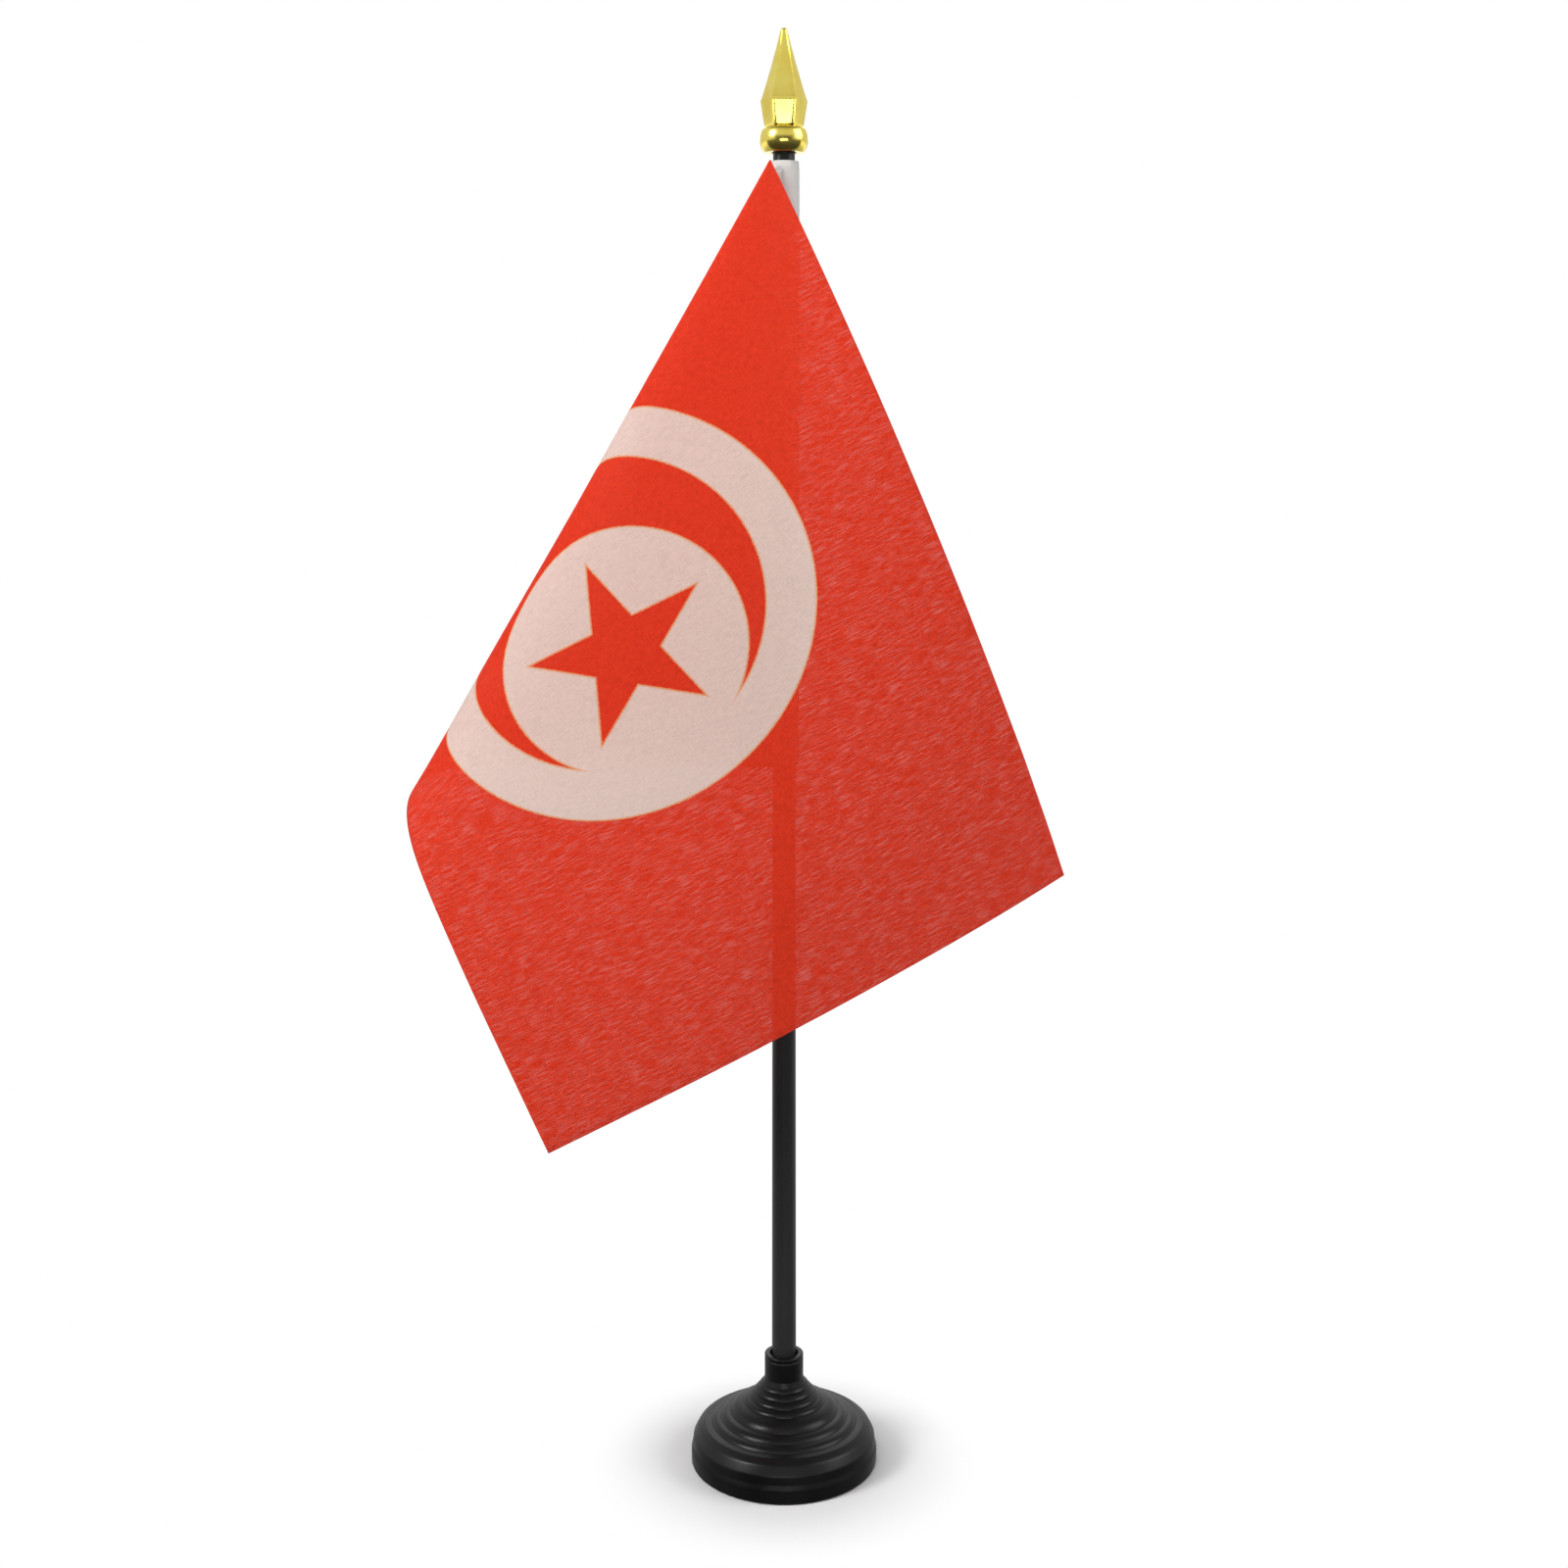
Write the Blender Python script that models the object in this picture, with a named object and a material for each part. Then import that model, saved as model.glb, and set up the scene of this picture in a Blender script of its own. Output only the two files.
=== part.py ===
"""A desk flag on its stand: a stepped round foot, a tapered pole, a gilt spear and a sleeved flag.

World axes: +Z up, -Y towards the reader, and the origin on the desk under the pole's axis.
Sizes are in millimetres, and MM turns them into Blender's metres.
"""

import math

import bmesh
import bpy
from mathutils import Vector

MM = 0.001

# Driving dimensions of the whole object.
OVERALL_HEIGHT = 250.0
FIT_GAP = 0.3

# Foot: a hollow moulding with a socket tube, a press-fit weight and a push-in cover.
FOOT_RADIUS = 16.9
RIM_CHAMFER = 0.5
FOOT_WALL = 1.3
COLLAR_RADIUS = 3.5
COLLAR_TOP = 20.8
COLLAR_BOTTOM = 16.3
COLLAR_EDGE = 0.25
COLLAR_GROOVE_DROP = 0.8
COLLAR_GROOVE_HALF = 0.3
COLLAR_GROOVE_DEPTH = 0.2
SOCKET_FLOOR = 3.0
SOCKET_FLOOR_THICKNESS = 1.2
SOCKET_MOUTH_CHAMFER = 0.2
TUBE_WALL = 0.7
# Radius and height of each crease between the moulded steps, from the collar outwards.
STEP_CREASES = (
    (3.85, 15.35), (4.5, 14.4), (5.35, 13.35), (6.3, 12.4), (7.4, 11.5), (9.8, 9.7), (11.6, 8.65), (13.2, 7.7),
)
STEP_BULGE = 0.12
FINE_STEP_LENGTH = 1.8
FINE_STEP_SHARES = (0.25, 0.75)
BROAD_STEP_SHARES = (0.12, 0.35, 0.65, 0.88)
# The rounded shoulder outside the last step, the slight groove under it and the lip of the skirt.
SHOULDER_POINTS = (
    (14.1, 7.5), (15.0, 6.95), (15.5, 6.4), (16.0, 5.6), (16.4, 4.85), (16.6, 4.2), (16.4, 3.65), (16.7, 3.3),
)
SKIRT_TOP = 2.7
# The inside of the dome follows the outside about 1.3 mm deeper, from the skirt up to the socket tube.
DOME_INSIDE_POINTS = ((13.0, 6.3), (11.0, 7.4), (8.6, 8.8), (6.0, 10.9))
DOME_INSIDE_TOP = 12.4
LEDGE_TOP = 4.9
COVER_THICKNESS = 1.2
COVER_EDGE_CHAMFER = 0.2
COVER_LEDGE = 0.8
WEIGHT_RADIUS = 13.6
WEIGHT_HEIGHT = 2.5
WEIGHT_BOTTOM = 1.85
WEIGHT_EDGE_CHAMFER = 0.3
WEIGHT_BORE_RADIUS = 5.2

# Pole: one moulded rod, thicker at the foot.
POLE_FOOT_RADIUS = 2.22
POLE_TOP_RADIUS = 1.78
POLE_TOP = 236.6
POLE_END_CHAMFER = 0.3

# Spear: a bead, a neck and a six-sided point, moulded in one piece with a blind socket.
SPEAR_FOOT = 230.5
BEAD_RADIUS = 4.0
BEAD_MIDDLE = 232.6
BEAD_CORE_INSET = 0.35
BEAD_HALF_HEIGHT = 2.55
BEAD_RINGS = 8
NECK_HEIGHT = 234.35
NECK_RADIUS = 3.22
NECK_ROUNDNESS = 0.35
SPEAR_WIDEST = 238.6
SPEAR_RADIUS = 3.9
SPEAR_ROUNDNESS = 0.1
SPEAR_TIP_RADIUS = 0.5
SPEAR_SIDES = 6
SPEAR_STEPS = 36
# Powers just under 1 give the two cones of the spear a slight swell.
LOWER_CONE_POWER = 0.85
UPPER_CONE_POWER = 0.92
SPEAR_TURN_HALF = 0.3
UPPER_CONE_SHARES = (0.3, 0.6, 0.85, 0.97)

# Flag: a sleeve round the pole and a panel that folds over to the front of it.
PANEL_LENGTH = 140.0
PANEL_HEIGHT = 100.0
SLEEVE_TOP = 229.1
SLEEVE_RADIUS = 2.66
CLOTH_THICKNESS = 0.25
PANEL_SOLID_THICKNESS = 0.4
HOIST_LEFT = -2.2
HOIST_FRONT = -3.2
PANEL_TIP_CUT = 4.0

# Seam: the doubled edge of the sleeve lies round its left side, with one visible row of stitches.
SEAM_FIRST_ANGLE = math.radians(-158.0)
SEAM_LAST_ANGLE = math.radians(-118.0)
SEAM_THICKNESS = 0.35
SEAM_ARC_STEPS = 6
THREAD_RADIUS = 0.12
THREAD_ANGLE = math.radians(-148.0)
THREAD_WAVE = 0.1
THREAD_END_MARGIN = 1.0
STITCH_LENGTH = 2.5
STITCH_STEPS = 4
THREAD_SIDES = 6

# How the panel hangs: straight creases fan out from its top hoist corner.
# It leaves the pole towards the left, turns round a soft fold and comes back in front of the pole.
BACK_HEADING = math.radians(4.0)
FOLD_TURN = math.radians(168.9)
FOLD_FAN_ANGLE = math.radians(31.8)
FOLD_SOFTNESS = math.radians(7.7)
SAG_DISTANCE = 150.0
SAG_LEFT = 7.4
SAG_BACK = 55.4
FAN_STEPS = 90
LOWER_FAN_LINES = 26
UPPER_FAN_LINES = 12
CREASE_STEPS = 14

ROUND_STEPS = 40
SMALL_ROUND_STEPS = 24
SMOOTH_ANGLE = math.radians(35.0)


def clear_scene():
    for old in list(bpy.data.objects):
        bpy.data.objects.remove(old, do_unlink=True)


def finish_material(name, colour, roughness, metallic=0.0):
    material = bpy.data.materials.new(name)
    material.use_nodes = True
    shader = material.node_tree.nodes["Principled BSDF"]
    shader.inputs["Base Color"].default_value = (*colour, 1.0)
    shader.inputs["Roughness"].default_value = roughness
    shader.inputs["Metallic"].default_value = metallic
    return material


def add_empty(name, place=(0.0, 0.0, 0.0), parent=None):
    empty = bpy.data.objects.new(name, None)
    empty.empty_display_size = 0.01
    empty.location = Vector(place) * MM
    empty.parent = parent
    bpy.context.scene.collection.objects.link(empty)
    return empty


def add_object(name, mesh, material, parent, origin=(0.0, 0.0, 0.0)):
    """Links a mesh whose points are in world millimetres, with its own origin at the given point."""
    shift = Vector(origin)
    for vertex in mesh.vertices:
        vertex.co = (vertex.co - shift) * MM
    mesh.materials.append(material)
    mesh.shade_smooth()
    mesh.set_sharp_from_angle(angle=SMOOTH_ANGLE)
    made = bpy.data.objects.new(name, mesh)
    made.parent = parent
    parent_place = parent.location if parent else Vector((0.0, 0.0, 0.0))
    made.location = shift * MM - parent_place
    bpy.context.scene.collection.objects.link(made)
    return made


def polar_point(radius, angle, height):
    return Vector((radius * math.cos(angle), radius * math.sin(angle), height))


def even_turns(steps):
    return [2 * math.pi * step / steps for step in range(steps)]


def turned_mesh(name, outline, steps):
    """Turns a closed outline of (radius, height) round the Z axis. Points on the axis become one point."""
    shape = bmesh.new()
    rings = []
    for radius, height in outline:
        if radius < 1e-6:
            rings.append([shape.verts.new((0.0, 0.0, height))] * steps)
            continue
        rings.append([shape.verts.new(polar_point(radius, turn, height)) for turn in even_turns(steps)])
    closed_loop = outline[0][0] > 1e-6
    pairs = list(zip(rings, rings[1:]))
    if closed_loop:
        pairs.append((rings[-1], rings[0]))
    for upper, lower in pairs:
        for step in range(steps):
            after = (step + 1) % steps
            corners = [upper[step], lower[step], lower[after], upper[after]]
            unique = list(dict.fromkeys(corners))
            if len(unique) >= 3:
                shape.faces.new(unique)
    bmesh.ops.recalc_face_normals(shape, faces=shape.faces)
    mesh = bpy.data.meshes.new(name)
    shape.to_mesh(mesh)
    shape.free()
    return mesh


def pole_radius_at(height):
    return POLE_FOOT_RADIUS + (POLE_TOP_RADIUS - POLE_FOOT_RADIUS) * height / POLE_TOP


def bulged_step(start, end):
    """The middle points of one moulded step, which swells outwards between two creases."""
    along = Vector((end[0] - start[0], end[1] - start[1]))
    outward = Vector((-along.y, along.x)).normalized()
    is_fine = along.length < FINE_STEP_LENGTH
    bulge = STEP_BULGE * along.length
    points = []
    for share in FINE_STEP_SHARES if is_fine else BROAD_STEP_SHARES:
        point = Vector(start) + along * share + outward * bulge * math.sin(math.pi * share)
        points.append((point.x, point.y))
    return points


def foot_outer_outline():
    """The foot's outside, from the mouth of the socket down to the rim that stands on the desk."""
    groove = COLLAR_TOP - COLLAR_GROOVE_DROP
    outline = [
        (COLLAR_RADIUS - COLLAR_EDGE, COLLAR_TOP),
        (COLLAR_RADIUS, COLLAR_TOP - COLLAR_EDGE),
        (COLLAR_RADIUS, groove + COLLAR_GROOVE_HALF),
        (COLLAR_RADIUS - COLLAR_GROOVE_DEPTH, groove),
        (COLLAR_RADIUS, groove - COLLAR_GROOVE_HALF),
        (COLLAR_RADIUS, COLLAR_BOTTOM),
        STEP_CREASES[0],
    ]
    for start, end in zip(STEP_CREASES, STEP_CREASES[1:]):
        outline += bulged_step(start, end)
        outline.append(end)
    outline += SHOULDER_POINTS
    outline += [
        (FOOT_RADIUS, SKIRT_TOP),
        (FOOT_RADIUS, RIM_CHAMFER),
        (FOOT_RADIUS - RIM_CHAMFER, 0.0),
    ]
    return outline


def foot_inner_outline():
    """The foot's inside, from its rim up under the steps and down round the socket tube."""
    rim_inside = FOOT_RADIUS - FOOT_WALL
    ledge = COVER_THICKNESS + FIT_GAP
    tube_radius = COLLAR_RADIUS + TUBE_WALL
    return [
        (rim_inside, 0.0),
        (rim_inside, ledge),
        (rim_inside - COVER_LEDGE, ledge),
        (rim_inside - COVER_LEDGE, LEDGE_TOP),
        *DOME_INSIDE_POINTS,
        (tube_radius, DOME_INSIDE_TOP),
        (tube_radius, SOCKET_FLOOR - SOCKET_FLOOR_THICKNESS),
        (0.0, SOCKET_FLOOR - SOCKET_FLOOR_THICKNESS),
    ]


def make_foot(parent):
    socket_radius = POLE_FOOT_RADIUS + FIT_GAP
    outline = [
        (0.0, SOCKET_FLOOR),
        (socket_radius, SOCKET_FLOOR),
        (socket_radius, COLLAR_TOP - SOCKET_MOUTH_CHAMFER),
        (socket_radius + SOCKET_MOUTH_CHAMFER, COLLAR_TOP),
    ]
    outline += foot_outer_outline() + foot_inner_outline()
    mesh = turned_mesh("base_shell", outline, ROUND_STEPS)
    black = finish_material("satin_black_plastic", (0.012, 0.012, 0.013), 0.38)
    return add_object("base_shell", mesh, black, parent)


def make_weight(parent):
    top = WEIGHT_BOTTOM + WEIGHT_HEIGHT
    outline = [
        (WEIGHT_BORE_RADIUS, top),
        (WEIGHT_RADIUS - WEIGHT_EDGE_CHAMFER, top),
        (WEIGHT_RADIUS, top - WEIGHT_EDGE_CHAMFER),
        (WEIGHT_RADIUS, WEIGHT_BOTTOM),
        (WEIGHT_BORE_RADIUS, WEIGHT_BOTTOM),
    ]
    mesh = turned_mesh("ballast_ring", outline, ROUND_STEPS)
    steel = finish_material("zinc_plated_steel", (0.42, 0.43, 0.44), 0.42, 1.0)
    return add_object("ballast_ring", mesh, steel, parent)


def make_cover(parent):
    radius = FOOT_RADIUS - FOOT_WALL - FIT_GAP
    outline = [
        (0.0, COVER_THICKNESS),
        (radius, COVER_THICKNESS),
        (radius, COVER_EDGE_CHAMFER),
        (radius - COVER_EDGE_CHAMFER, 0.0),
        (0.0, 0.0),
    ]
    mesh = turned_mesh("bottom_cover", outline, ROUND_STEPS)
    black = finish_material("matt_black_plastic", (0.014, 0.014, 0.015), 0.55)
    return add_object("bottom_cover", mesh, black, parent)


def make_pole(parent):
    foot = SOCKET_FLOOR + FIT_GAP
    chamfer = POLE_END_CHAMFER
    outline = [
        (0.0, POLE_TOP),
        (pole_radius_at(POLE_TOP) - chamfer, POLE_TOP),
        (pole_radius_at(POLE_TOP), POLE_TOP - chamfer),
        (pole_radius_at(foot + chamfer), foot + chamfer),
        (pole_radius_at(foot) - chamfer, foot),
        (0.0, foot),
    ]
    mesh = turned_mesh("pole", outline, SMALL_ROUND_STEPS)
    black = finish_material("black_pole_plastic", (0.016, 0.017, 0.017), 0.36)
    return add_object("pole", mesh, black, parent)


def spear_section(height):
    """(circumradius, roundness) of the spear at a height: 1 is a circle and 0 a hexagon."""
    if height <= NECK_HEIGHT:
        offset = min(1.0, abs(height - BEAD_MIDDLE) / BEAD_HALF_HEIGHT)
        core = NECK_RADIUS - BEAD_CORE_INSET
        return core + (BEAD_RADIUS - core) * math.sqrt(1.0 - offset ** 2), 1.0
    if height <= SPEAR_WIDEST:
        share = (height - NECK_HEIGHT) / (SPEAR_WIDEST - NECK_HEIGHT)
        radius = NECK_RADIUS + (SPEAR_RADIUS - NECK_RADIUS) * share ** LOWER_CONE_POWER
        return radius, NECK_ROUNDNESS * (1.0 - share)
    share = (height - SPEAR_WIDEST) / (OVERALL_HEIGHT - SPEAR_WIDEST)
    return SPEAR_RADIUS + (SPEAR_TIP_RADIUS - SPEAR_RADIUS) * share ** UPPER_CONE_POWER, SPEAR_ROUNDNESS


def spear_ring(shape, height):
    """One ring of the spear, with a flat side facing -Y."""
    radius, roundness = spear_section(height)
    side_angle = 2 * math.pi / SPEAR_SIDES
    ring = []
    for turn in even_turns(SPEAR_STEPS):
        from_middle = (turn % side_angle) - side_angle / 2
        flat = math.cos(side_angle / 2) / math.cos(from_middle)
        reach = radius * (roundness + (1.0 - roundness) * flat)
        ring.append(shape.verts.new(polar_point(reach, turn, height)))
    return ring


def spear_heights():
    heights = [SPEAR_FOOT + (NECK_HEIGHT - SPEAR_FOOT) * index / BEAD_RINGS for index in range(BEAD_RINGS + 1)]
    heights += [NECK_HEIGHT + SPEAR_TURN_HALF, (NECK_HEIGHT + SPEAR_WIDEST) / 2]
    heights += [SPEAR_WIDEST - SPEAR_TURN_HALF, SPEAR_WIDEST + SPEAR_TURN_HALF]
    return heights + [SPEAR_WIDEST + (OVERALL_HEIGHT - SPEAR_WIDEST) * share for share in UPPER_CONE_SHARES]


def bridge_rings(shape, lower, upper):
    count = len(lower)
    for step in range(count):
        after = (step + 1) % count
        shape.faces.new((lower[step], lower[after], upper[after], upper[step]))


def make_spear(parent):
    shape = bmesh.new()
    rings = [spear_ring(shape, height) for height in spear_heights()]
    for lower, upper in zip(rings, rings[1:]):
        bridge_rings(shape, lower, upper)
    tip = shape.verts.new((0.0, 0.0, OVERALL_HEIGHT))
    for step in range(SPEAR_STEPS):
        shape.faces.new((rings[-1][step], rings[-1][(step + 1) % SPEAR_STEPS], tip))
    socket_radius = POLE_TOP_RADIUS + FIT_GAP
    turns = even_turns(SPEAR_STEPS)
    mouth = [shape.verts.new(polar_point(socket_radius, turn, SPEAR_FOOT)) for turn in turns]
    floor = [shape.verts.new(polar_point(socket_radius, turn, POLE_TOP + FIT_GAP)) for turn in turns]
    bridge_rings(shape, mouth, rings[0])
    bridge_rings(shape, floor, mouth)
    shape.faces.new(floor)
    bmesh.ops.recalc_face_normals(shape, faces=shape.faces)
    mesh = bpy.data.meshes.new("finial")
    shape.to_mesh(mesh)
    shape.free()
    gilt = finish_material("gilt_plating", (0.83, 0.66, 0.16), 0.16, 1.0)
    return add_object("finial", mesh, gilt, parent, origin=(0.0, 0.0, SPEAR_FOOT))


def make_sleeve(parent):
    inner = SLEEVE_RADIUS - CLOTH_THICKNESS
    bottom = SLEEVE_TOP - PANEL_HEIGHT
    outline = [(SLEEVE_RADIUS, SLEEVE_TOP), (SLEEVE_RADIUS, bottom), (inner, bottom), (inner, SLEEVE_TOP)]
    mesh = turned_mesh("sleeve", outline, SMALL_ROUND_STEPS)
    white = finish_material("white_sleeve_cloth", (0.55, 0.54, 0.52), 0.85)
    return add_object("sleeve", mesh, white, parent, origin=(0.0, 0.0, SLEEVE_TOP))


def fan_directions():
    """Unit vectors of the creases that fan out from the top hoist corner, one for each fan angle.

    The first runs straight down the hoist. Each next one lies a small turn further on, and the
    path's own bend, mostly inside the soft fold, decides which way the panel faces.
    """
    step = (math.pi / 2) / FAN_STEPS
    direction = Vector((0.0, 0.0, -1.0))
    heading = Vector((-math.cos(BACK_HEADING), math.sin(BACK_HEADING), 0.0))
    fan = [direction.copy()]
    for index in range(FAN_STEPS):
        offset = ((index + 0.5) * step - FOLD_FAN_ANGLE) / FOLD_SOFTNESS
        bend = FOLD_TURN / (FOLD_SOFTNESS * math.sqrt(math.pi)) * math.exp(-offset * offset)
        spin = direction.cross(heading) - direction * bend
        turn = spin.length * step
        axis = spin.normalized()
        direction = rotated(direction, axis, turn)
        heading = rotated(heading, axis, turn)
        fan.append(direction.copy())
    return fan


def rotated(vector, axis, angle):
    along = axis * axis.dot(vector) * (1.0 - math.cos(angle))
    return vector * math.cos(angle) + axis.cross(vector) * math.sin(angle) + along


def panel_point(fan, along_fly, down_hoist):
    """Where a point of the flat panel hangs, in world millimetres."""
    distance = math.hypot(along_fly, down_hoist)
    fan_share = math.atan2(along_fly, down_hoist) / (math.pi / 2)
    place = min(fan_share * FAN_STEPS, FAN_STEPS - 1e-6)
    lower = int(place)
    direction = fan[lower].lerp(fan[lower + 1], place - lower)
    sag = (distance / SAG_DISTANCE) ** 2
    corner = Vector((HOIST_LEFT, HOIST_FRONT, SLEEVE_TOP))
    droop = Vector((-SAG_LEFT * fan_share, SAG_BACK * fan_share ** 2, 0.0)) * sag
    return corner + direction * distance + droop


def panel_reach(fan_angle):
    """Distance from the top hoist corner to the panel's far edge, along one crease."""
    along_fly = math.sin(fan_angle)
    down_hoist = math.cos(fan_angle)
    if along_fly * PANEL_HEIGHT < down_hoist * PANEL_LENGTH:
        return PANEL_HEIGHT / down_hoist
    return PANEL_LENGTH / along_fly


def panel_fan_angles():
    """Fan angles of the panel's grid lines, one of which runs to its far bottom corner."""
    corner = math.atan2(PANEL_LENGTH, PANEL_HEIGHT)
    lower = [corner * step / LOWER_FAN_LINES for step in range(LOWER_FAN_LINES)]
    rest = math.pi / 2 - corner
    return lower + [corner + rest * step / UPPER_FAN_LINES for step in range(UPPER_FAN_LINES + 1)]


def make_panel(parent, fan):
    """The panel as a thin solid sheet. Its sharp top corner is left out, where the fold is too tight."""
    shape = bmesh.new()
    lines = []
    for angle in panel_fan_angles():
        reach = panel_reach(angle)
        line = []
        for step in range(CREASE_STEPS + 1):
            distance = PANEL_TIP_CUT + (reach - PANEL_TIP_CUT) * step / CREASE_STEPS
            point = panel_point(fan, distance * math.sin(angle), distance * math.cos(angle))
            line.append(shape.verts.new(point))
        lines.append(line)
    for near, far in zip(lines, lines[1:]):
        for step in range(CREASE_STEPS):
            shape.faces.new((near[step], near[step + 1], far[step + 1], far[step]))
    mesh = bpy.data.meshes.new("flag_panel")
    shape.to_mesh(mesh)
    shape.free()
    red = finish_material("red_print_cloth", (0.70, 0.055, 0.03), 0.8)
    panel = add_object("flag_panel", mesh, red, parent)
    thicken = panel.modifiers.new("cloth_thickness", "SOLIDIFY")
    thicken.thickness = PANEL_SOLID_THICKNESS * MM
    thicken.offset = 0.0
    return panel


def close_and_finish(shape, name, rings):
    """Joins rings of equal length into a tube with flat ends."""
    for lower, upper in zip(rings, rings[1:]):
        bridge_rings(shape, lower, upper)
    shape.faces.new(rings[0])
    shape.faces.new(rings[-1])
    bmesh.ops.recalc_face_normals(shape, faces=shape.faces)
    mesh = bpy.data.meshes.new(name)
    shape.to_mesh(mesh)
    shape.free()
    return mesh


def make_seam_strip(parent):
    """The sleeve's doubled edge, which curves round the tube beside the line where the panel starts."""
    inner = SLEEVE_RADIUS + FIT_GAP
    outer = inner + SEAM_THICKNESS
    step_angle = (SEAM_LAST_ANGLE - SEAM_FIRST_ANGLE) / SEAM_ARC_STEPS
    angles = [SEAM_FIRST_ANGLE + step_angle * step for step in range(SEAM_ARC_STEPS + 1)]
    shape = bmesh.new()
    rings = []
    for height in (SLEEVE_TOP, SLEEVE_TOP - PANEL_HEIGHT):
        points = [polar_point(outer, angle, height) for angle in angles]
        points += [polar_point(inner, angle, height) for angle in reversed(angles)]
        rings.append([shape.verts.new(point) for point in points])
    mesh = close_and_finish(shape, "seam_strip", rings)
    white = finish_material("white_seam_cloth", (0.55, 0.54, 0.52), 0.85)
    return add_object("seam_strip", mesh, white, parent)


def make_seam_thread(parent):
    """One row of stitches down the seam: a single thread that rises and dips with every stitch."""
    middle = SLEEVE_RADIUS + 2 * FIT_GAP + SEAM_THICKNESS + THREAD_RADIUS + THREAD_WAVE
    length = PANEL_HEIGHT - 2 * THREAD_END_MARGIN
    count = round(length / STITCH_LENGTH) * STITCH_STEPS
    shape = bmesh.new()
    rings = []
    for index in range(count + 1):
        height = SLEEVE_TOP - THREAD_END_MARGIN - length * index / count
        radius = middle + THREAD_WAVE * math.cos(2 * math.pi * index / STITCH_STEPS)
        centre = polar_point(radius, THREAD_ANGLE, height)
        rings.append([
            shape.verts.new(centre + polar_point(THREAD_RADIUS, turn, 0.0)) for turn in even_turns(THREAD_SIDES)
        ])
    mesh = close_and_finish(shape, "seam_thread", rings)
    white = finish_material("white_thread", (0.62, 0.61, 0.59), 0.7)
    return add_object("seam_thread", mesh, white, parent)


def main():
    clear_scene()
    foot_group = add_empty("foot_place")
    pole_group = add_empty("pole_place", (0.0, 0.0, SOCKET_FLOOR + FIT_GAP))
    flag_group = add_empty("flag_turn_axis", (0.0, 0.0, SLEEVE_TOP))
    make_foot(foot_group)
    make_weight(foot_group)
    make_cover(foot_group)
    make_pole(pole_group)
    make_spear(pole_group)
    make_sleeve(flag_group)
    make_panel(flag_group, fan_directions())
    make_seam_strip(flag_group)
    make_seam_thread(flag_group)


main()
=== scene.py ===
"""Looks of the desk flag stand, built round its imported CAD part.

Lengths are in millimetres, and MM turns them into Blender's metres. +Z is up and -Y faces the camera.
"""

import math

import bmesh
import bpy
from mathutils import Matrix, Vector, noise


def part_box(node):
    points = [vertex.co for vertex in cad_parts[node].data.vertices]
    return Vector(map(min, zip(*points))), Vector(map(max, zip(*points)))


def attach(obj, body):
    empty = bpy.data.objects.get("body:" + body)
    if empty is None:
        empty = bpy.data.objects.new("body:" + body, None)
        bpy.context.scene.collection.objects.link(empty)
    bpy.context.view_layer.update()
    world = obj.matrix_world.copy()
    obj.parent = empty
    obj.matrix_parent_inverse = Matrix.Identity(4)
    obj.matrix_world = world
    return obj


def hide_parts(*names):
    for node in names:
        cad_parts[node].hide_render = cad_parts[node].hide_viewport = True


MM = 0.001
SHARP_ANGLE = math.radians(30.0)
MERGE_DISTANCE = 0.0001
FILLET_STEPS = 5

# Foot. The creases are (radius, height) from the collar outwards, as in the CAD part.
FOOT_STEPS = 192
FOOT_WALL = 1.3
RIM_FILLET = 0.5
COLLAR_RADIUS = 3.5
COLLAR_BOTTOM = 16.3
COLLAR_RIM_FILLET = 0.25
COLLAR_GROOVE_DROP = 0.8
COLLAR_GROOVE_DEPTH = 0.12
COLLAR_GROOVE_HALF = 0.25
STEP_CREASES = (
    (3.85, 15.35), (4.5, 14.4), (5.35, 13.35), (6.3, 12.4),
    (7.4, 11.5), (9.8, 9.7), (11.6, 8.65), (13.2, 7.7),
)
STEP_BULGE = 0.115
STEP_BULGE_LEAST = 0.06
STEP_NOSE_SKEW = 1.25
STEP_NOSE_FULLNESS = 0.8
STEP_POINTS = 9
# The shoulder and the slight lip above the skirt, as (radius, height, fillet).
SHOULDER_CORNERS = (
    (14.4, 7.5, 0.8), (15.6, 6.75, 1.3), (16.48, 5.1, 1.3), (16.6, 4.1, 0.9), (16.62, 3.65, 0.6),
    (16.75, 3.2, 0.7),
)
SKIRT_TOP = 2.7
DOME_INSIDE_CORNERS = ((13.0, 6.3, 0.5), (11.0, 7.4, 0.5), (8.6, 8.8, 0.5), (6.0, 10.9, 0.5))
DOME_INSIDE_TOP = 12.4
LEDGE_TOP = 4.9
TUBE_WALL = 0.7
SOCKET_GAP = 0.3
SOCKET_FLOOR = 3.0
SOCKET_FLOOR_THICKNESS = 1.2
COVER_LEDGE = 0.8
COVER_RECESS = 1.5

# Pole.
POLE_STEPS = 96
POLE_END_FILLET = 0.3
POLE_TAPER = 0.43
PARTING_LINE_HEIGHT = 0.035
PARTING_LINE_HALF_WIDTH = 0.09

# Spear finial.
SPEAR_SIDES = 6
SPEAR_STEPS = 144
SPEAR_HEIGHT_STEPS = 30
BEAD_RADIUS = 4.1
BEAD_DROP = 2.1
BEAD_HALF_HEIGHT = 2.55
BEAD_CORE_INSET = 0.9
NECK_RADIUS = 3.22
NECK_RISE = 3.85
NECK_CREASE_DEPTH = 0.14
NECK_CREASE_HALF = 0.16
SPEAR_RADIUS = 3.93
WIDEST_RISE = 8.1
SPEAR_TIP_RADIUS = 0.6
SPEAR_TIP_CAP = 0.4
SPEAR_EDGE_FILLET = 0.62
SPEAR_EDGE_CUT = 0.16
SPEAR_EDGE_SHARPNESS = 3.0
SPEAR_EDGE_LEAST = 0.35
SPEAR_ROUND_SHARE = 0.97
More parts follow.
